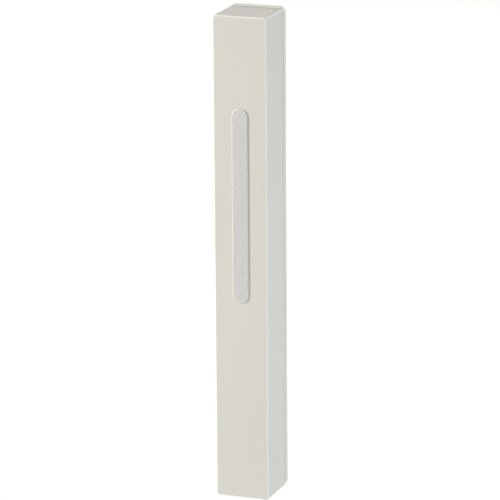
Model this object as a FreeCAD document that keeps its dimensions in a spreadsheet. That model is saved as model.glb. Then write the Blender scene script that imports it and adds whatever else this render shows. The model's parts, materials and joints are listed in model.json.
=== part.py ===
"""Mezuzah case: a moulded plastic case for a rolled parchment, fixed to a doorpost by adhesive pads.

Frame: +X to the right seen from the front, -Y out of the front face, +Z up. The origin is the middle of the
bottom of the whole object. Lengths are in millimetres. Each body's own origin plane XZ is the rear face of
the back plate, or holds the axis of the bottom mouth for the pieces that go through it.
"""
import FreeCAD, Part
import Sketcher
import math
import os

DRIVING = {
    "case_width": 17.1,
    "case_height": 150.0,
    "case_depth": 16.8,
    "wall": 1.6,
    "corner_round": 1.0,
    "front_round": 0.5,
    "plate_thick": 2.0,
    "plate_side_proud": 0.2,
    "plate_top_proud": 0.38,
    "plate_corner": 1.7,
    "plate_rear_round": 0.3,
    "plate_front_round": 0.18,
    "step_height": 0.8,
    "step_gap": 0.05,
    "collar_height": 6.5,
    "axis_depth": 7.8,
    "mouth_radius": 5.4,
    "recess_radius": 6.4,
    "recess_depth": 1.25,
    "flange_radius": 6.3,
    "flange_thick": 1.2,
    "flange_round": 0.3,
    "plug_radius": 5.0,
    "plug_height": 7.2,
    "plug_lead": 0.5,
    "rib_round": 0.35,
    "rib_first": 2.4,
    "rib_pitch": 1.4,
    "rib_count": 3,
    "core_radius": 2.8,
    "core_depth": 3.6,
    "slot_width": 1.4,
    "slot_length": 7.0,
    "slot_depth": 0.7,
    "ornament_width": 5.0,
    "ornament_length": 60.0,
    "ornament_base": 62.0,
    "ornament_round": 2.4,
    "ornament_relief": 0.6,
    "ornament_edge": 0.15,
    "foil_inset": 0.28,
    "foil_thick": 0.05,
    "scroll_length": 120.0,
    "scroll_base": 8.3,
    "scroll_core": 1.6,
    "scroll_pitch": 0.42,
    "sheet_thick": 0.3,
    "scroll_halfturns": 13,
    "wrap_length": 121.6,
    "wrap_base": 7.5,
    "wrap_radius": 4.62,
    "wrap_pitch": 0.16,
    "wrap_thick": 0.1,
    "wrap_halfturns": 3,
    "pad_width": 12.0,
    "pad_length": 46.0,
    "pad_thick": 1.0,
    "pad_round": 1.0,
    "pad_gap": 0.2,
    "pad_middle": 39.0,
    "seat_depth": 0.9,
    "liner_thick": 0.12,
    "liner_tab": 4.0,
}

DOC = FreeCAD.newDocument("mezuzah_case")
BODIES = []

# The whole object runs from the face of the ornament to the face of the liners, and the origin is midway.
PAD_PROUD = "(dims.pad_thick - dims.seat_depth)"
BACK_Y = f"(dims.ornament_relief + dims.case_depth - {PAD_PROUD} - dims.liner_thick) / 2"
AXIS_Y = f"{BACK_Y} - (dims.case_depth - dims.axis_depth)"


def make_sheet():
    """The driving dimensions, one to a row, each with its name as an alias."""
    sheet = DOC.addObject("Spreadsheet::Sheet", "dims")
    for row, (alias, value) in enumerate(DRIVING.items(), start=1):
        sheet.set(f"A{row}", alias)
        sheet.set(f"B{row}", str(value))
        sheet.setAlias(f"B{row}", alias)
    DOC.recompute()
    return sheet


SHEET = make_sheet()


def size(expression):
    """The number that an expression of driving dimensions comes to."""
    return float(SHEET.evalExpression(str(expression).replace("dims.", "")))


def make_body(label, depth=BACK_Y):
    body = DOC.addObject("PartDesign::Body", label)
    body.Label = label
    body.setExpression("Placement.Base.y", depth)
    BODIES.append(body)
    return body


def make_sketch(body, plane, name, offset="0"):
    """A sketch on one of the body's own origin planes, moved along that plane's normal."""
    sketch = body.newObject("Sketcher::SketchObject", f"{body.Label}_{name}")
    support = next(item for item in body.Origin.OriginFeatures if item.Role == plane)
    sketch.AttachmentSupport = [(support, "")]
    sketch.MapMode = "FlatFace"
    sketch.setExpression("AttachmentOffset.Base.z", offset)
    return sketch


def pin_point(sketch, element, end, across, up):
    """Hold one end of a sketch element at a place given by two expressions."""
    for kind, axis, expression in (("DistanceX", -2, across), ("DistanceY", -1, up)):
        value = size(expression)
        if abs(value) < 1e-9:
            sketch.addConstraint(Sketcher.Constraint("PointOnObject", element, end, axis))
            continue
        index = sketch.addConstraint(Sketcher.Constraint(kind, -1, 1, element, end, value))
        sketch.setExpression(f"Constraints[{index}]", expression)


def draw_polygon(sketch, corners):
    """A closed run of straight lines through corners given as pairs of expressions."""
    points = [FreeCAD.Vector(size(across), size(up), 0) for across, up in corners]
    lines = []
    for start, end in zip(points, points[1:] + points[:1]):
        lines.append(sketch.addGeometry(Part.LineSegment(start, end), False))
    for line, following in zip(lines, lines[1:] + lines[:1]):
        sketch.addConstraint(Sketcher.Constraint("Coincident", line, 2, following, 1))
    for line, (across, up) in zip(lines, corners):
        pin_point(sketch, line, 1, across, up)


def draw_rectangle(sketch, left, right, bottom, top):
    draw_polygon(sketch, [(left, bottom), (right, bottom), (right, top), (left, top)])


def draw_circle(sketch, across, up, radius):
    centre = FreeCAD.Vector(size(across), size(up), 0)
    circle = sketch.addGeometry(Part.Circle(centre, FreeCAD.Vector(0, 0, 1), size(radius)), False)
    pin_point(sketch, circle, 3, across, up)
    index = sketch.addConstraint(Sketcher.Constraint("Radius", circle, size(radius)))
    sketch.setExpression(f"Constraints[{index}]", radius)


def pad(body, sketch, length, reverse=False):
    feature = body.newObject("PartDesign::Pad", f"{sketch.Name}_pad")
    feature.Profile = sketch
    feature.setExpression("Length", length)
    feature.Reversed = reverse
    DOC.recompute()
    return feature


def pocket(body, sketch, depth, reverse=False):
    before = body.Shape.Volume
    feature = body.newObject("PartDesign::Pocket", f"{sketch.Name}_pocket")
    feature.Profile = sketch
    feature.setExpression("Length", depth)
    feature.Reversed = reverse
    DOC.recompute()
    if body.Shape.Volume > before - 1e-3:
        raise RuntimeError(f"{feature.Name} cuts nothing")
    return feature


def revolve(body, sketch):
    feature = body.newObject("PartDesign::Revolution", f"{sketch.Name}_turn")
    feature.Profile = sketch
    feature.ReferenceAxis = (sketch, ["V_Axis"])
    feature.Angle = 360
    DOC.recompute()
    return feature


def round_edges(body, name, radius, wanted):
    """Fillet the edges of the body that wanted(edge) says yes to."""
    base = body.Tip
    names = [f"Edge{i}" for i, edge in enumerate(base.Shape.Edges, start=1) if wanted(edge)]
    if not names:
        raise RuntimeError(f"{body.Label}: no edge for {name}")
    feature = body.newObject("PartDesign::Fillet", f"{body.Label}_{name}")
    feature.Base = (base, names)
    feature.setExpression("Radius", radius)
    DOC.recompute()
    return feature


def runs_along(edge, axis):
    """True for an edge parallel to a row axis, 0 to 2 for X to Z."""
    start, end = edge.Vertexes[0].Point, edge.Vertexes[-1].Point
    span = [abs(end[i] - start[i]) for i in range(3)]
    return span[axis] > 1e-6 and sum(span) - span[axis] < 1e-6


def lies_at(edge, axis, place):
    """True for an edge whose every vertex is at one place along a row axis."""
    return all(abs(vertex.Point[axis] - place) < 1e-6 for vertex in edge.Vertexes)


def make_case_body():
    """The front shell: one moulding with the front, both sides, the top and the bottom collar."""
    body = make_body("case_body")
    half_width = "dims.case_width / 2"
    outline = make_sketch(body, "XY_Plane", "outline")
    draw_rectangle(outline, f"-{half_width}", half_width, "-dims.case_depth", "-dims.plate_thick")
    pad(body, outline, "dims.case_height")
    round_edges(body, "corners", "dims.corner_round", lambda edge: runs_along(edge, 1))
    front = -size("dims.case_depth")
    round_edges(body, "front_edges", "dims.front_round", lambda edge: lies_at(edge, 1, front))

    inner = f"({half_width} - dims.wall)"
    cavity = make_sketch(body, "XZ_Plane", "cavity", "dims.plate_thick")
    draw_rectangle(cavity, f"-{inner}", inner, "dims.collar_height", "dims.case_height - dims.wall")
    pocket(body, cavity, "dims.case_depth - dims.plate_thick - dims.wall", reverse=True)

    axis = "dims.axis_depth - dims.case_depth"
    mouth = make_sketch(body, "XY_Plane", "mouth")
    draw_circle(mouth, "0", axis, "dims.mouth_radius")
    pocket(body, mouth, "dims.collar_height", reverse=True)
    recess = make_sketch(body, "XY_Plane", "recess")
    draw_circle(recess, "0", axis, "dims.recess_radius")
    pocket(body, recess, "dims.recess_depth", reverse=True)


def pad_bottom(side):
    """Height of the lower end of a pad, the upper one (side 1) or the lower one (side -1)."""
    return f"(dims.case_height / 2 + {side} * dims.pad_middle - dims.pad_length / 2)"


def make_back_plate():
    """The rear cover: a plate a little larger than the shell, with a step that fits into its open back."""
    body = make_body("back_plate")
    half_width = "(dims.case_width / 2 + dims.plate_side_proud)"
    top = "(dims.case_height + dims.plate_top_proud)"
    outline = make_sketch(body, "XZ_Plane", "outline")
    draw_rectangle(outline, f"-{half_width}", half_width, "0", top)
    pad(body, outline, "dims.plate_thick")
    round_edges(body, "corners", "dims.plate_corner", lambda edge: runs_along(edge, 1))
    round_edges(body, "rear_edges", "dims.plate_rear_round", lambda edge: lies_at(edge, 1, 0))
    front = -size("dims.plate_thick")
    round_edges(body, "front_edges", "dims.plate_front_round", lambda edge: lies_at(edge, 1, front))

    step_side = "(dims.case_width / 2 - dims.wall - dims.step_gap)"
    step = make_sketch(body, "XZ_Plane", "step", "dims.plate_thick")
    draw_rectangle(step, f"-{step_side}", step_side, "dims.collar_height + dims.step_gap",
                   "dims.case_height - dims.wall - dims.step_gap")
    pad(body, step, "dims.step_height")

    seat_side = "(dims.pad_width / 2 + dims.pad_gap)"
    for place, side in (("upper", 1), ("lower", -1)):
        seat = make_sketch(body, "XZ_Plane", f"{place}_seat")
        draw_rectangle(seat, f"-{seat_side}", seat_side, f"{pad_bottom(side)} - dims.pad_gap",
                       f"{pad_bottom(side)} + dims.pad_length + dims.pad_gap")
        pocket(body, seat, "dims.seat_depth", reverse=True)


def make_tape(place, side):
    """A double-sided foam pad in its shallow seat, standing a little proud of the plate."""
    body = make_body(f"{place}_tape")
    outline = make_sketch(body, "XZ_Plane", "outline", "dims.seat_depth")
    half_width = "dims.pad_width / 2"
    draw_rectangle(outline, f"-{half_width}", half_width, pad_bottom(side),
                   f"{pad_bottom(side)} + dims.pad_length")
    pad(body, outline, "dims.pad_thick", reverse=True)
    round_edges(body, "corners", "dims.pad_round", lambda edge: runs_along(edge, 1))


def make_liner(place, side):
    """The release liner of a foam pad, longer than the pad at the end by the middle of the case."""
    body = make_body(f"{place}_liner")
    outline = make_sketch(body, "XZ_Plane", "outline", f"-{PAD_PROUD}")
    half_width = "dims.pad_width / 2"
    low = f"{pad_bottom(side)} - {1 if side > 0 else 0} * dims.liner_tab"
    draw_rectangle(outline, f"-{half_width}", half_width, low,
                   f"{low} + dims.pad_length + dims.liner_tab")
    pad(body, outline, "dims.liner_thick", reverse=True)
    round_edges(body, "corners", "dims.pad_round", lambda edge: runs_along(edge, 1))


def make_front_ornament():
    """The plain raised bar with round ends on the front, its front edge broken all round."""
    body = make_body("front_ornament")
    outline = make_sketch(body, "XZ_Plane", "outline", "dims.case_depth")
    half_width = "dims.ornament_width / 2"
    draw_rectangle(outline, f"-{half_width}", half_width, "dims.ornament_base",
                   "dims.ornament_base + dims.ornament_length")
    pad(body, outline, "dims.ornament_relief - dims.foil_thick")
    round_edges(body, "ends", "dims.ornament_round", lambda edge: runs_along(edge, 1))
    face = -size("dims.case_depth + dims.ornament_relief - dims.foil_thick")
    base = body.Tip
    names = [f"Edge{i}" for i, edge in enumerate(base.Shape.Edges, start=1) if lies_at(edge, 1, face)]
    chamfer = body.newObject("PartDesign::Chamfer", "front_ornament_edge")
    chamfer.Base = (base, names)
    chamfer.setExpression("Size", "dims.ornament_edge")
    DOC.recompute()


def make_ornament_foil():
    """The silver foil stamped on the flat of the raised bar, a little inside its edge."""
    body = make_body("ornament_foil")
    front = "dims.case_depth + dims.ornament_relief - dims.foil_thick"
    outline = make_sketch(body, "XZ_Plane", "outline", front)
    half_width = "(dims.ornament_width / 2 - dims.foil_inset)"
    draw_rectangle(outline, f"-{half_width}", half_width, "dims.ornament_base + dims.foil_inset",
                   "dims.ornament_base + dims.ornament_length - dims.foil_inset")
    pad(body, outline, "dims.foil_thick")
    round_edges(body, "ends", "dims.ornament_round - dims.foil_inset", lambda edge: runs_along(edge, 1))


def make_bottom_plug():
    """The silicone stopper: a flange flush with the bottom, three sealing ribs and a slot to pull it by."""
    body = make_body("bottom_plug", AXIS_Y)
    profile = make_sketch(body, "XZ_Plane", "profile")
    draw_polygon(profile, [
        ("0", "0"),
        ("dims.flange_radius - dims.flange_round", "0"),
        ("dims.flange_radius", "dims.flange_round"),
        ("dims.flange_radius", "dims.flange_thick"),
        ("dims.plug_radius", "dims.flange_thick"),
        ("dims.plug_radius", "dims.plug_height - dims.plug_lead"),
        ("dims.plug_radius - dims.plug_lead", "dims.plug_height"),
        ("0", "dims.plug_height"),
    ])
    revolve(body, profile)
    ring = make_sketch(body, "XZ_Plane", "rib")
    draw_circle(ring, "dims.plug_radius", "dims.rib_first", "dims.rib_round")
    first_rib = revolve(body, ring)
    pattern = body.newObject("PartDesign::LinearPattern", "bottom_plug_ribs")
    pattern.Originals = [first_rib]
    pattern.Direction = (ring, ["V_Axis"])
    pattern.setExpression("Length", "dims.rib_pitch * (dims.rib_count - 1)")
    pattern.setExpression("Occurrences", "dims.rib_count")
    body.Tip = pattern
    DOC.recompute()

    core = make_sketch(body, "XY_Plane", "core", "dims.plug_height")
    draw_circle(core, "0", "0", "dims.core_radius")
    pocket(body, core, "dims.core_depth")
    slot = make_sketch(body, "XY_Plane", "slot")
    draw_rectangle(slot, "-dims.slot_length / 2", "dims.slot_length / 2", "-dims.slot_width / 2",
                   "dims.slot_width / 2")
    pocket(body, slot, "dims.slot_depth", reverse=True)


def draw_spiral(sketch, inner, pitch, thick, halfturns):
    """The section of a rolled sheet: half circles about two centres, each half a pitch larger."""
    normal = FreeCAD.Vector(0, 0, 1)

    def half(turn, offset):
        centre = FreeCAD.Vector((turn % 2) * pitch / 2 - pitch / 4, 0, 0)
        circle = Part.Circle(centre, normal, inner + turn * pitch / 2 + offset)
        start = (turn % 2) * math.pi
        return Part.ArcOfCircle(circle, start, start + math.pi)

    for offset in (-thick / 2, thick / 2):
        for turn in range(halfturns):
            sketch.addGeometry(half(turn, offset), False)
    for turn, at_start in ((0, True), (halfturns - 1, False)):
        ends = [half(turn, offset) for offset in (-thick / 2, thick / 2)]
        points = [arc.StartPoint if at_start else arc.EndPoint for arc in ends]
        sketch.addGeometry(Part.LineSegment(*points), False)


def make_roll(label, name, base, length, inner):
    """A rolled sheet standing above the stopper: the parchment, or the film round it."""
    body = make_body(label, AXIS_Y)
    section = make_sketch(body, "XY_Plane", "section", base)
    thick = "dims.sheet_thick" if name == "scroll" else "dims.wrap_thick"
    draw_spiral(section, size(inner), size(f"dims.{name}_pitch"), size(thick),
                int(size(f"dims.{name}_halfturns")))
    pad(body, section, length)


def check_document():
    """Stop if any object failed or any sub-part has no valid shape."""
    DOC.recompute()
    for item in DOC.Objects:
        if "Invalid" in item.State or "Error" in item.State:
            raise RuntimeError(f"{item.Name} failed: {item.State}")
    for body in BODIES:
        shape = body.Shape
        if shape.isNull() or not shape.isValid() or len(shape.Solids) != 1:
            raise RuntimeError(f"{body.Label} isn't one valid solid")


def write_parts():
    os.makedirs("parts", exist_ok=True)
    for body in BODIES:
        body.Shape.exportStep(f"parts/{body.Label}.step")
        box = body.Shape.BoundBox
        print(f"{body.Label}: {body.Shape.Volume:.1f} mm3, x {box.XMin:.2f}..{box.XMax:.2f}, "
              f"y {box.YMin:.2f}..{box.YMax:.2f}, z {box.ZMin:.2f}..{box.ZMax:.2f}")


make_case_body()
make_back_plate()
make_front_ornament()
make_ornament_foil()
make_bottom_plug()
make_roll("scroll", "scroll", "dims.scroll_base", "dims.scroll_length", "dims.scroll_core")
make_roll("scroll_wrap", "wrap", "dims.wrap_base", "dims.wrap_length", "dims.wrap_radius")
for place, side in (("upper", 1), ("lower", -1)):
    make_tape(place, side)
    make_liner(place, side)
check_document()
write_parts()
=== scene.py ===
import json
import math

import bmesh
import bpy
from mathutils import Matrix, Vector, noise
from mathutils.geometry import delaunay_2d_cdt


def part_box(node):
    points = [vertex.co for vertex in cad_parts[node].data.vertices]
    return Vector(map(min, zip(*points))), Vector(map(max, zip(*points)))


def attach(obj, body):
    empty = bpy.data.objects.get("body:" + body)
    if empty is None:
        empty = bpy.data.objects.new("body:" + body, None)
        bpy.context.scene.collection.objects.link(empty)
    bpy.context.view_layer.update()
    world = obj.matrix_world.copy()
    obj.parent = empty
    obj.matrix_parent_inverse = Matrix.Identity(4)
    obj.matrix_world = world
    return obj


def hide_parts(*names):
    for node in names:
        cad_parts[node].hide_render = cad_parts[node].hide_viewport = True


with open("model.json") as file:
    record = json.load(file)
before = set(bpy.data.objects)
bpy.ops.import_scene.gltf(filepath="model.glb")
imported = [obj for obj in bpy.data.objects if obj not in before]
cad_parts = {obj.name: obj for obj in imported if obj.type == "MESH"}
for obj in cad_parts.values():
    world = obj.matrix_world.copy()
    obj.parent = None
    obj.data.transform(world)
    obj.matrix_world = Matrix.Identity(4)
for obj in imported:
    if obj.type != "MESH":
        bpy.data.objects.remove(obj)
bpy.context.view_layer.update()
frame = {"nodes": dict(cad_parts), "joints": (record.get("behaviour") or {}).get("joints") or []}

MM = 0.001
CASE_LOW, CASE_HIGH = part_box("case_body")
_, PLATE_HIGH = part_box("back_plate")
MIDDLE = (CASE_LOW + CASE_HIGH) / 2
PLUG_TRAVEL = next(joint["range_m"][1] for joint in frame["joints"] if joint["name"] == "plug_pull")
FLOOR_GAP = 20 * MM
FLOOR_Z = CASE_LOW.z - PLUG_TRAVEL - FLOOR_GAP

# How near two points lie that count as one, and how near a plane a point lies that counts as on it.
WELD = 1e-7
ON_PLANE = 1e-6

WORLD_COLOUR = (1.0, 0.965, 0.90, 1)
WORLD_STRENGTH = 0.36
# Near-white colour of the painted highlight laid on rounded plastic edges and corners.
EDGE_HIGHLIGHT_IVORY = (0.99, 0.975, 0.92)
PAD_SEED = 5
LINER_SEED = 15


# ---------------------------------------------------------------- stage, light and camera

def make_floor():
    """A pale floor that curves up far behind, lower than the pulled stopper and parchment ever reach."""
    half_width, front, bend, radius, rise = 3.0, -3.0, 1.8, 1.0, 2.0
    profile = [Vector((front, FLOOR_Z)), Vector((bend, FLOOR_Z))]
    steps = 24
    for step in range(1, steps + 1):
        angle = math.pi / 2 * step / steps
        profile.append(Vector((bend + radius * math.sin(angle), FLOOR_Z + radius * (1 - math.cos(angle)))))
    profile.append(Vector((bend + radius, FLOOR_Z + radius + rise)))
    mesh = bpy.data.meshes.new("floor")
    points = [(side * half_width, place.x, place.y) for place in profile for side in (-1, 1)]
    faces = [(2 * i, 2 * i + 1, 2 * i + 3, 2 * i + 2) for i in range(len(profile) - 1)]
    mesh.from_pydata(points, [], faces)
    for polygon in mesh.polygons:
        polygon.use_smooth = True
    floor = bpy.data.objects.new("floor", mesh)
    bpy.context.scene.collection.objects.link(floor)
    material, tree, shader = new_material("floor_white")
    shader.inputs["Base Color"].default_value = (0.93, 0.93, 0.93, 1)
    shader.inputs["Roughness"].default_value = 0.9
    mesh.materials.append(material)


def make_world():
    world = bpy.data.worlds.new("studio")
    world.use_nodes = True
    background = world.node_tree.nodes["Background"]
    background.inputs["Color"].default_value = WORLD_COLOUR
    background.inputs["Strength"].default_value = WORLD_STRENGTH
    bpy.context.scene.world = world


def add_light(name, target, azimuth, elevation, distance, across, up, power, colour):
    """A soft rectangular light that faces a target from a distance."""
    light = bpy.data.lights.new(name, "AREA")
    light.shape = "RECTANGLE"
    light.size, light.size_y = across, up
    light.energy = power
    light.color = colour
    lamp = bpy.data.objects.new(name, light)
    turn, lift = math.radians(azimuth), math.radians(elevation)
    back = Vector((math.sin(turn) * math.cos(lift), -math.cos(turn) * math.cos(lift), math.sin(lift)))
    lamp.location = target + back * distance
    lamp.rotation_mode = "QUATERNION"
    lamp.rotation_quaternion = (-back).to_track_quat("-Z", "Y")
    bpy.context.scene.collection.objects.link(lamp)


def make_camera():
    """A long lens in front, to the right and a little above, as the product is usually pictured."""
    azimuth, elevation, roll = math.radians(20.53), math.radians(15.18), math.radians(-0.403)
    distance = 1.1194
    data = bpy.data.cameras.new("camera")
    data.sensor_width = 36
    data.lens = 266.3
    data.shift_x, data.shift_y = -0.0019, 0.0081
    data.clip_start, data.clip_end = 0.05, 20
    camera = bpy.data.objects.new("camera", data)
    back = Vector((math.sin(azimuth) * math.cos(elevation), -math.cos(azimuth) * math.cos(elevation),
                   math.sin(elevation)))
    right = (-back).cross(Vector((0, 0, 1))).normalized()
    up = right.cross(-back)
    turned_right = right * math.cos(roll) + up * math.sin(roll)
    turned_up = up * math.cos(roll) - right * math.sin(roll)
    target = Vector((0, PLATE_HIGH.y - 8 * MM, 75 * MM))
    place = target + back * distance
    columns = Matrix((turned_right, turned_up, back)).transposed()
    camera.matrix_world = Matrix.Translation(place) @ columns.to_4x4()
    bpy.context.scene.collection.objects.link(camera)
    bpy.context.scene.camera = camera


# ---------------------------------------------------------------- materials

def new_material(name):
    material = bpy.data.materials.new(name)
    material.use_nodes = True
    tree = material.node_tree
    return material, tree, tree.nodes["Principled BSDF"]


def add_node(tree, kind, inputs=None, **settings):
    node = tree.nodes.new(kind)
    for key, value in settings.items():
        setattr(node, key, value)
    for key, value in (inputs or {}).items():
        if isinstance(value, bpy.types.NodeSocket):
            tree.links.new(value, node.inputs[key])
        else:
            node.inputs[key].default_value = value
    return node


def place_node(tree, stretch=(1, 1, 1)):
    """Places on the piece in millimetres, so that a texture's scale is features per millimetre.

    A stretch below 1 along an axis draws the texture out along it.
    """
    coordinate = add_node(tree, "ShaderNodeTexCoord")
    mapping = add_node(tree, "ShaderNodeMapping", {"Vector": coordinate.outputs["Object"]})
    mapping.inputs["Scale"].default_value = [1 / MM * value for value in stretch]
    return mapping.outputs["Vector"]


def noise_node(tree, place, scale, detail=4.0, roughness=0.55):
    node = add_node(tree, "ShaderNodeTexNoise",
                    {"Vector": place, "Scale": scale, "Detail": detail, "Roughness": roughness})
    return node.outputs["Fac"]


def range_node(tree, value, low, high, new_low, new_high):
    node = add_node(tree, "ShaderNodeMapRange",
                    {"Value": value, "From Min": low, "From Max": high,
                     "To Min": new_low, "To Max": new_high})
    return node.outputs["Result"]


def mix_node(tree, share, first, second, blend="MIX"):
    node = add_node(tree, "ShaderNodeMix", data_type="RGBA", blend_type=blend)
    for index, value in ((0, share), (6, first), (7, second)):
        if isinstance(value, bpy.types.NodeSocket):
            tree.links.new(value, node.inputs[index])
        elif index:
            node.inputs[index].default_value = (*value, 1)
        else:
            node.inputs[index].default_value = value
    return node.outputs[2]


def bump_node(tree, height, distance, strength=1.0, normal=None):
    inputs = {"Height": height, "Distance": distance, "Strength": strength}
    if normal is not None:
        inputs["Normal"] = normal
    return add_node(tree, "ShaderNodeBump", inputs).outputs["Normal"]


def edge_node(tree):
    """1 on the rounded edges and corners of a box-shaped piece, and 0 on its flat faces."""
    coordinate = add_node(tree, "ShaderNodeTexCoord")
    split = add_node(tree, "ShaderNodeSeparateXYZ", {"Vector": coordinate.outputs["Normal"]})
    largest = None
    for axis in "XYZ":
        size = add_node(tree, "ShaderNodeMath", {0: split.outputs[axis]}, operation="ABSOLUTE").outputs[0]
        if largest is not None:
            size = add_node(tree, "ShaderNodeMath", {0: size, 1: largest}, operation="MAXIMUM").outputs[0]
        largest = size
    return range_node(tree, largest, 0.998, 0.95, 0, 1)


def ivory_plastic(name, light, dark, grain, edge):
    """Satin moulded plastic: cloudy ivory with a spark-eroded grain, faint flow marks and rare specks, and a
    painted highlight that lightens its rounded edges and corners toward the edge colour.
    """
    material, tree, shader = new_material(name)
    place = place_node(tree)
    flow = place_node(tree, (1, 1, 0.25))
    cloud = range_node(tree, noise_node(tree, flow, 0.09, 3), 0.35, 0.65, 0, 1)
    colour = mix_node(tree, cloud, light, dark)
    speck = range_node(tree, noise_node(tree, place, 1.3, 1), 0.80, 0.83, 0, 1)
    colour = mix_node(tree, speck, colour, [value * 0.86 for value in dark])
    # Painted highlight: rounded edges and corners are lightened toward a near-white colour.
    painted_edge_highlight = edge_node(tree)
    colour = mix_node(tree, painted_edge_highlight, colour, edge)
    tree.links.new(colour, shader.inputs["Base Color"])
    rough = range_node(tree, noise_node(tree, place, 0.5, 5), 0.3, 0.7, 0.32, 0.42)
    tree.links.new(rough, shader.inputs["Roughness"])
    fine = bump_node(tree, noise_node(tree, place, 7.0, 3), grain)
    wave = bump_node(tree, noise_node(tree, flow, 0.25, 2), 0.04 * MM, 1.0, fine)
    tree.links.new(wave, shader.inputs["Normal"])
    shader.inputs["IOR"].default_value = 1.5
    shader.inputs["Subsurface Weight"].default_value = 0.12
    shader.inputs["Subsurface Radius"].default_value = (1.6 * MM, 1.3 * MM, 1.0 * MM)
    shader.inputs["Subsurface Scale"].default_value = 1.0
    return material


def silver_foil():
    """Matte silver with a fine sparkling grain."""
    material, tree, shader = new_material("ornament_silver")
    place = place_node(tree)
    grain = noise_node(tree, place, 3.2, 4, 0.7)
    blotch = noise_node(tree, place, 0.5, 3)
    tone = range_node(tree, grain, 0.3, 0.7, 0, 1)
    colour = mix_node(tree, tone, (0.60, 0.60, 0.60), (0.90, 0.90, 0.90))
    tint = range_node(tree, blotch, 0.35, 0.65, 0, 0.5)
    colour = mix_node(tree, tint, colour, (0.80, 0.79, 0.775))
    tree.links.new(colour, shader.inputs["Base Color"])
    shader.inputs["Metallic"].default_value = 0.72
    rough = range_node(tree, grain, 0.3, 0.7, 0.50, 0.34)
    tree.links.new(rough, shader.inputs["Roughness"])
    tree.links.new(bump_node(tree, grain, 0.06 * MM, 0.9), shader.inputs["Normal"])
    return material


def silicone():
    """Soft milky silicone with a matte, slightly dusty skin."""
    material, tree, shader = new_material("plug_silicone")
    place = place_node(tree)
    dust = range_node(tree, noise_node(tree, place, 2.2, 6, 0.7), 0.45, 0.75, 0, 0.6)
    colour = mix_node(tree, dust, (0.70, 0.69, 0.65), (0.80, 0.79, 0.76))
    tree.links.new(colour, shader.inputs["Base Color"])
    rough = range_node(tree, noise_node(tree, place, 1.1, 4), 0.3, 0.7, 0.45, 0.68)
    tree.links.new(rough, shader.inputs["Roughness"])
    tree.links.new(bump_node(tree, noise_node(tree, place, 5.0, 4), 0.012 * MM), shader.inputs["Normal"])
    shader.inputs["Subsurface Weight"].default_value = 0.5
    shader.inputs["Subsurface Radius"].default_value = (2.0 * MM, 1.8 * MM, 1.6 * MM)
    shader.inputs["Subsurface Scale"].default_value = 1.0
    shader.inputs["Sheen Weight"].default_value = 0.15
    shader.inputs["IOR"].default_value = 1.41
    return material


def parchment():
    """Scraped skin: warm cream clouds, fine fibres, follicle dots and a slight sheen."""
    material, tree, shader = new_material("parchment_skin")
    place = place_node(tree)
    fibres = noise_node(tree, place_node(tree, (1, 1, 0.12)), 5.0, 5, 0.7)
    cloud = range_node(tree, noise_node(tree, place, 0.16, 5, 0.6), 0.35, 0.68, 0, 1)
    colour = mix_node(tree, cloud, (0.76, 0.64, 0.44), (0.62, 0.47, 0.28))
    colour = mix_node(tree, range_node(tree, fibres, 0.5, 0.75, 0, 0.25), colour, (0.84, 0.75, 0.58))
    dots = add_node(tree, "ShaderNodeTexVoronoi", {"Vector": place, "Scale": 1.6}, feature="F1")
    follicle = range_node(tree, dots.outputs["Distance"], 0.06, 0.16, 0.35, 0)
    colour = mix_node(tree, follicle, colour, (0.42, 0.31, 0.19))
    tree.links.new(colour, shader.inputs["Base Color"])
    rough = range_node(tree, fibres, 0.3, 0.7, 0.48, 0.68)
    tree.links.new(rough, shader.inputs["Roughness"])
    relief = bump_node(tree, fibres, 0.03 * MM)
    tree.links.new(bump_node(tree, cloud, 0.06 * MM, 0.6, relief), shader.inputs["Normal"])
    shader.inputs["Subsurface Weight"].default_value = 0.15
    shader.inputs["Subsurface Radius"].default_value = (0.8 * MM, 0.5 * MM, 0.3 * MM)
    shader.inputs["Subsurface Scale"].default_value = 1.0
    return material


def clear_film():
    """Thin clear film: mostly seen through, with long glossy creases and a faint haze."""
    material, tree, shader = new_material("wrap_film")
    creases = noise_node(tree, place_node(tree, (1, 1, 0.22)), 0.55, 3)
    haze = noise_node(tree, place_node(tree), 0.6, 5)
    colour = mix_node(tree, range_node(tree, haze, 0.3, 0.7, 0, 1), (0.90, 0.92, 0.93), (0.97, 0.98, 0.98))
    tree.links.new(colour, shader.inputs["Base Color"])
    tree.links.new(range_node(tree, haze, 0.3, 0.7, 0.06, 0.16), shader.inputs["Roughness"])
    tree.links.new(range_node(tree, creases, 0.40, 0.72, 0.07, 0.22), shader.inputs["Alpha"])
    tree.links.new(bump_node(tree, creases, 0.10 * MM), shader.inputs["Normal"])
    return material


def foam():
    """White closed-cell foam with an adhesive skin."""
    material, tree, shader = new_material("foam_tape")
    place = place_node(tree)
    cells = add_node(tree, "ShaderNodeTexVoronoi", {"Vector": place, "Scale": 4.5}, feature="F1")
    tone = range_node(tree, cells.outputs["Distance"], 0.1, 0.7, 0, 1)
    colour = mix_node(tree, tone, (0.84, 0.84, 0.82), (0.72, 0.72, 0.70))
    tree.links.new(colour, shader.inputs["Base Color"])
    tree.links.new(range_node(tree, noise_node(tree, place, 1.0, 4), 0.3, 0.7, 0.35, 0.6),
                   shader.inputs["Roughness"])
    tree.links.new(bump_node(tree, cells.outputs["Distance"], 0.05 * MM), shader.inputs["Normal"])
    shader.inputs["Subsurface Weight"].default_value = 0.3
    shader.inputs["Subsurface Radius"].default_value = (1.0 * MM, 1.0 * MM, 1.0 * MM)
    shader.inputs["Subsurface Scale"].default_value = 1.0
    return material


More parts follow.
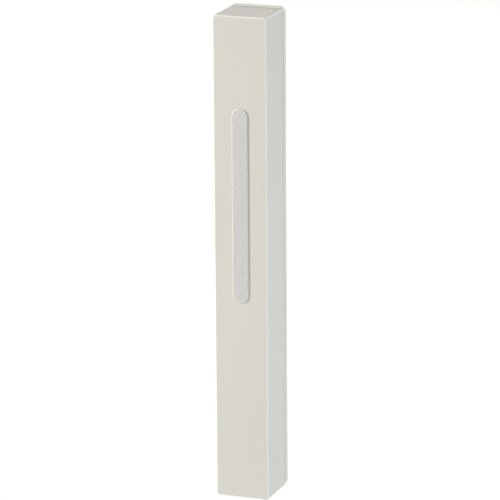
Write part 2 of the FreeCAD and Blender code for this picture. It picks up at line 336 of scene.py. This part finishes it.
def liner_paper():
    """Glassine release paper: honey-coloured, half glossy, with long fibres and soft cockling."""
    material, tree, shader = new_material("liner_paper")
    place = place_node(tree)
    fibres = noise_node(tree, place_node(tree, (1, 1, 0.2)), 3.0, 6, 0.7)
    cloud = noise_node(tree, place, 0.3, 4)
    colour = mix_node(tree, range_node(tree, fibres, 0.35, 0.7, 0, 1), (0.70, 0.56, 0.33), (0.78, 0.66, 0.43))
    colour = mix_node(tree, range_node(tree, cloud, 0.4, 0.65, 0, 0.4), colour, (0.64, 0.50, 0.29))
    tree.links.new(colour, shader.inputs["Base Color"])
    tree.links.new(range_node(tree, cloud, 0.3, 0.7, 0.28, 0.42), shader.inputs["Roughness"])
    relief = bump_node(tree, fibres, 0.01 * MM)
    tree.links.new(bump_node(tree, cloud, 0.08 * MM, 0.7, relief), shader.inputs["Normal"])
    shader.inputs["Coat Weight"].default_value = 0.25
    shader.inputs["Coat Roughness"].default_value = 0.2
    return material


def paint(node_name, material):
    """Give a CAD node one finish."""
    mesh = frame["nodes"][node_name].data
    mesh.materials.clear()
    mesh.materials.append(material)


# ---------------------------------------------------------------- pieces that take over from CAD nodes

def add_piece(name, mesh, material, node_name, body_name):
    """Show a mesh in place of a CAD node, riding on that node's body."""
    for polygon in mesh.polygons:
        polygon.use_smooth = True
    mesh.materials.clear()
    mesh.materials.append(material)
    piece = bpy.data.objects.new(name, mesh)
    bpy.context.scene.collection.objects.link(piece)
    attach(piece, body_name)
    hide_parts(node_name)
    return piece


def rear_outline(node_name):
    """The closed outline of a node's flat rear face, as points across and up, in order."""
    shape = bmesh.new()
    shape.from_mesh(frame["nodes"][node_name].data)
    bmesh.ops.remove_doubles(shape, verts=shape.verts, dist=WELD)
    rear = max(vertex.co.y for vertex in shape.verts)
    flat = {face for face in shape.faces
            if all(abs(vertex.co.y - rear) < ON_PLANE for vertex in face.verts)}
    following = {}
    for edge in shape.edges:
        sides = [face in flat for face in edge.link_faces]
        if sum(sides) == 1:
            for vertex in edge.verts:
                following.setdefault(vertex, []).append(edge.other_vert(vertex))
    start = next(iter(following))
    loop, before, here = [start], None, start
    while True:
        ahead = next(vertex for vertex in following[here] if vertex is not before)
        if ahead is start:
            break
        loop.append(ahead)
        before, here = here, ahead
    outline = [Vector((vertex.co.x, vertex.co.z)) for vertex in loop]
    shape.free()
    area = sum(a.x * b.y - b.x * a.y for a, b in zip(outline, outline[1:] + outline[:1]))
    return outline if area > 0 else outline[::-1]


def spread_evenly(outline, spacing):
    """The same outline with extra points along its longer stretches."""
    points = []
    for start, end in zip(outline, outline[1:] + outline[:1]):
        count = max(1, round((end - start).length / spacing))
        points += [start.lerp(end, step / count) for step in range(count)]
    return points


def distance_to(point, outline):
    """How far a point is from a closed outline."""
    best = math.inf
    for start, end in zip(outline, outline[1:] + outline[:1]):
        along = end - start
        share = min(1.0, max(0.0, (point - start).dot(along) / max(along.length_squared, 1e-16)))
        best = min(best, (point - start - along * share).length_squared)
    return math.sqrt(best)


def is_inside(point, outline):
    """True for a point inside a closed outline."""
    inside = False
    for start, end in zip(outline, outline[1:] + outline[:1]):
        if (start.y > point.y) != (end.y > point.y):
            share = (point.y - start.y) / (end.y - start.y)
            if point.x < start.x + share * (end.x - start.x):
                inside = not inside
    return inside


def slab_mesh(name, outline, near_at, far_at, edge_round, spacing):
    """A closed slab between two surfaces, with its far face rounded off at the edge.

    near_at and far_at give the depth (Y) of each surface at a point across and up. Extra points lie in rings
    along the edge and on a grid inside it, as far apart as the spacing.
    """
    finest = 0.5 * MM
    ring_shares = (0.08, 0.25, 0.5, 0.75, 1.0, 1.25)
    ring_slack, grid_margin = 0.96, 1.5
    outline = spread_evenly(outline, min(spacing, finest))
    points, depths = list(outline), [0.0] * len(outline)
    for before, here, after in zip(outline[-1:] + outline[:-1], outline, outline[1:] + outline[:1]):
        along = (after - before).normalized()
        inward = Vector((-along.y, along.x))
        for share in ring_shares:
            place = here + inward * edge_round * share
            clear = distance_to(place, outline)
            if clear > edge_round * share * ring_slack:
                points.append(place)
                depths.append(clear)
    left, right = min(point.x for point in outline), max(point.x for point in outline)
    low, high = min(point.y for point in outline), max(point.y for point in outline)
    for column in range(1, int((right - left) / spacing)):
        for row in range(1, int((high - low) / spacing)):
            place = Vector((left + column * spacing, low + row * spacing))
            clear = distance_to(place, outline)
            if clear > edge_round * grid_margin and is_inside(place, outline):
                points.append(place)
                depths.append(clear)

    count = len(outline)
    corners, _, faces, sources, _, _ = delaunay_2d_cdt(points, [], [list(range(count))], 1, WELD)
    near, far, edge_of = [], [], {}
    for index, (corner, source) in enumerate(zip(corners, sources)):
        depth = min((depths[i] for i in source), default=edge_round)
        short = max(0.0, edge_round - depth)
        drop = edge_round - math.sqrt(edge_round ** 2 - short ** 2)
        top, bottom = far_at(corner), near_at(corner)
        near.append((corner.x, bottom, corner.y))
        far.append((corner.x, top - math.copysign(drop, top - bottom), corner.y))
        edge_of.update({i: index for i in source})
    lift = len(near)
    rows = near + far
    sheets = [tuple(face) for face in faces] + [tuple(lift + i for i in reversed(face)) for face in faces]
    walls = []
    for i in range(count):
        start, end = edge_of[i], edge_of[(i + 1) % count]
        walls.append((start, end, lift + end, lift + start))
    mesh = bpy.data.meshes.new(name)
    mesh.from_pydata(rows, [], sheets + walls)
    shape = bmesh.new()
    shape.from_mesh(mesh)
    bmesh.ops.recalc_face_normals(shape, faces=shape.faces)
    shape.to_mesh(mesh)
    shape.free()
    return mesh


def ripple(point, spread, height, seed):
    """A smooth seeded unevenness at a point across and up."""
    return height * noise.noise(Vector((point.x / spread, seed, point.y / spread)))


def make_bar(material):
    """The plain raised bar, rounded at its edge out to where the foil starts."""
    low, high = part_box("front_ornament")
    foil_low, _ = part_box("ornament_foil")
    mesh = slab_mesh("raised_bar", rear_outline("front_ornament"), lambda point: high.y, lambda point: low.y,
                     foil_low.x - low.x, 3 * MM)
    return add_piece("raised_bar", mesh, material, "front_ornament", "case")


def make_tape(half, material):
    """A foam pad with soft cut edges and a face that isn't quite flat."""
    low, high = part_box(f"{half}_tape")
    unevenness, sink = 0.03 * MM, 0.02 * MM
    mesh = slab_mesh(f"{half}_foam_pad", rear_outline(f"{half}_tape"), lambda point: low.y,
                     lambda point: high.y + ripple(point, 3 * MM, unevenness, PAD_SEED) - sink,
                     0.12 * MM, 1.0 * MM)
    piece = add_piece(f"{half}_foam_pad", mesh, material, f"{half}_tape", "case")
    return piece


def make_liner(half, material):
    """A release liner, cockled, with its free tab curling away from the plate."""
    low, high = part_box(f"{half}_liner")
    pad_low, pad_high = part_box(f"{half}_tape")
    curl, cockle, lift_off = 0.40 * MM, 0.03 * MM, 0.03 * MM

    def lift(point):
        past = max(0.0, pad_low.z - point.y, point.y - pad_high.z)
        tab = max(pad_low.z - low.z, high.z - pad_high.z)
        return curl * (past / tab) ** 2 + ripple(point, 7 * MM, cockle, LINER_SEED) + lift_off

    mesh = slab_mesh(f"{half}_release_liner", rear_outline(f"{half}_liner"),
                     lambda point: low.y + lift(point), lambda point: high.y + lift(point),
                     0.03 * MM, 1.0 * MM)
    return add_piece(f"{half}_release_liner", mesh, material, f"{half}_liner",
                     f"{half}_backing")


def roll_mesh(name, axis, inner, outer, turns, thick, low, high, crease, telescope, rows, seed):
    """A sheet rolled up on an upright axis, its ends not quite level and its skin a little uneven."""
    steps_per_turn = 56
    swing_angle, wave_height, wave_scale = 2.5, 9 * MM, 1.6
    steps = round(turns * steps_per_turn)
    points = []
    for step in range(steps + 1):
        share = step / steps
        angle = 2 * math.pi * turns * share
        middle = inner + (outer - inner) * share
        swing = noise.noise(Vector((angle / swing_angle, seed, 0.5)))
        base = low + telescope * (0.5 + 0.5 * swing)
        top = high - telescope * (0.5 - 0.5 * swing)
        for side in (-0.5, 0.5):
            for row in range(rows + 1):
                height = base + (top - base) * row / rows
                around = (math.cos(angle), math.sin(angle), height / wave_height)
                wave = noise.noise(Vector((around[0] * wave_scale, around[1] * wave_scale + seed, around[2])))
                radius = middle + side * thick + crease * wave
                points.append((axis.x + radius * around[0], axis.y + radius * around[1], height))
    faces = []
    ring = 2 * (rows + 1)
    for step in range(steps + 1):
        here, ahead = step * ring, (step + 1) * ring
        for row in range(rows):
            if step < steps:
                faces.append((here + row, ahead + row, ahead + row + 1, here + row + 1))
                outer_row = row + rows + 1
                faces.append((here + outer_row, here + outer_row + 1,
                              ahead + outer_row + 1, ahead + outer_row))
            if step in (0, steps):
                faces.append((here + row, here + row + 1, here + row + rows + 2, here + row + rows + 1))
        if step < steps:
            for row in (0, rows):
                faces.append((here + row, here + row + rows + 1, ahead + row + rows + 1, ahead + row))
    mesh = bpy.data.meshes.new(name)
    mesh.from_pydata(points, [], faces)
    shape = bmesh.new()
    shape.from_mesh(mesh)
    bmesh.ops.recalc_face_normals(shape, faces=shape.faces)
    shape.to_mesh(mesh)
    shape.free()
    return mesh


def make_rolls(skin_material, film_material):
    """The rolled parchment and the clear film round it, on the stopper's axis."""
    plug_low, plug_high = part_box("bottom_plug")
    axis = (plug_low + plug_high) / 2
    low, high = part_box("scroll")
    outer = (high.x - low.x) / 2 - 0.15 * MM
    mesh = roll_mesh("parchment_roll", axis, 1.6 * MM, outer - 0.08 * MM, 6.83, 0.24 * MM, low.z, high.z,
                     0.05 * MM, 0.5 * MM, 30, 3.0)
    add_piece("parchment_roll", mesh, skin_material, "scroll", "parchment")
    low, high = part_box("scroll_wrap")
    outer = (high.x - low.x) / 2
    mesh = roll_mesh("film_sleeve", axis, outer - 0.24 * MM, outer - 0.08 * MM, 1.45, 0.04 * MM, low.z,
                     high.z, 0.05 * MM, 0.3 * MM, 60, 8.0)
    add_piece("film_sleeve", mesh, film_material, "scroll_wrap", "parchment")


def make_stopper(material):
    """The silicone stopper with every edge slightly rounded, as it leaves its mould."""
    mesh = frame["nodes"]["bottom_plug"].data.copy()
    mesh.name = "silicone_stopper"
    shape = bmesh.new()
    shape.from_mesh(mesh)
    bmesh.ops.remove_doubles(shape, verts=shape.verts, dist=WELD)
    sharp_angle, bevel_width = math.radians(35), 0.08 * MM
    sharp = [edge for edge in shape.edges if edge.is_manifold and edge.calc_face_angle(0) > sharp_angle]
    bmesh.ops.bevel(shape, geom=sharp, offset=bevel_width, segments=2, profile=0.5, affect="EDGES",
                    clamp_overlap=True)
    shape.to_mesh(mesh)
    shape.free()
    return add_piece("silicone_stopper", mesh, material, "bottom_plug", "plug")


# ---------------------------------------------------------------- build

bpy.context.scene.view_settings.view_transform = "Standard"
make_world()
make_floor()
add_light("key_left", MIDDLE, -52, 18, 0.9, 0.20, 0.34, 5.37, (1.0, 0.98, 0.97))
add_light("fill_right", MIDDLE, 74, 6, 0.9, 1.2, 0.9, 3.5, (0.70, 0.88, 1.0))
add_light("background", Vector((0, 1.05, FLOOR_Z)), 0, 90, 0.5, 2.4, 1.25, 12.0, (1.0, 1.0, 1.0))
make_camera()

paint("case_body", ivory_plastic("case_plastic", (0.735, 0.71, 0.645), (0.715, 0.695, 0.635), 0.006 * MM,
                                 EDGE_HIGHLIGHT_IVORY))
paint("back_plate", ivory_plastic("plate_plastic", (0.77, 0.755, 0.70), (0.75, 0.74, 0.69), 0.009 * MM,
                                  EDGE_HIGHLIGHT_IVORY))
# The raised bar's last colour is the painted highlight on its rounded edges.
make_bar(ivory_plastic("ornament_plastic", (0.90, 0.88, 0.82), (0.87, 0.85, 0.79), 0.004 * MM,
                          (0.93, 0.91, 0.85)))
paint("ornament_foil", silver_foil())
make_stopper(silicone())
make_rolls(parchment(), clear_film())
foam_material, liner_material = foam(), liner_paper()
for half in ("upper", "lower"):
    make_tape(half, foam_material)
    make_liner(half, liner_material)
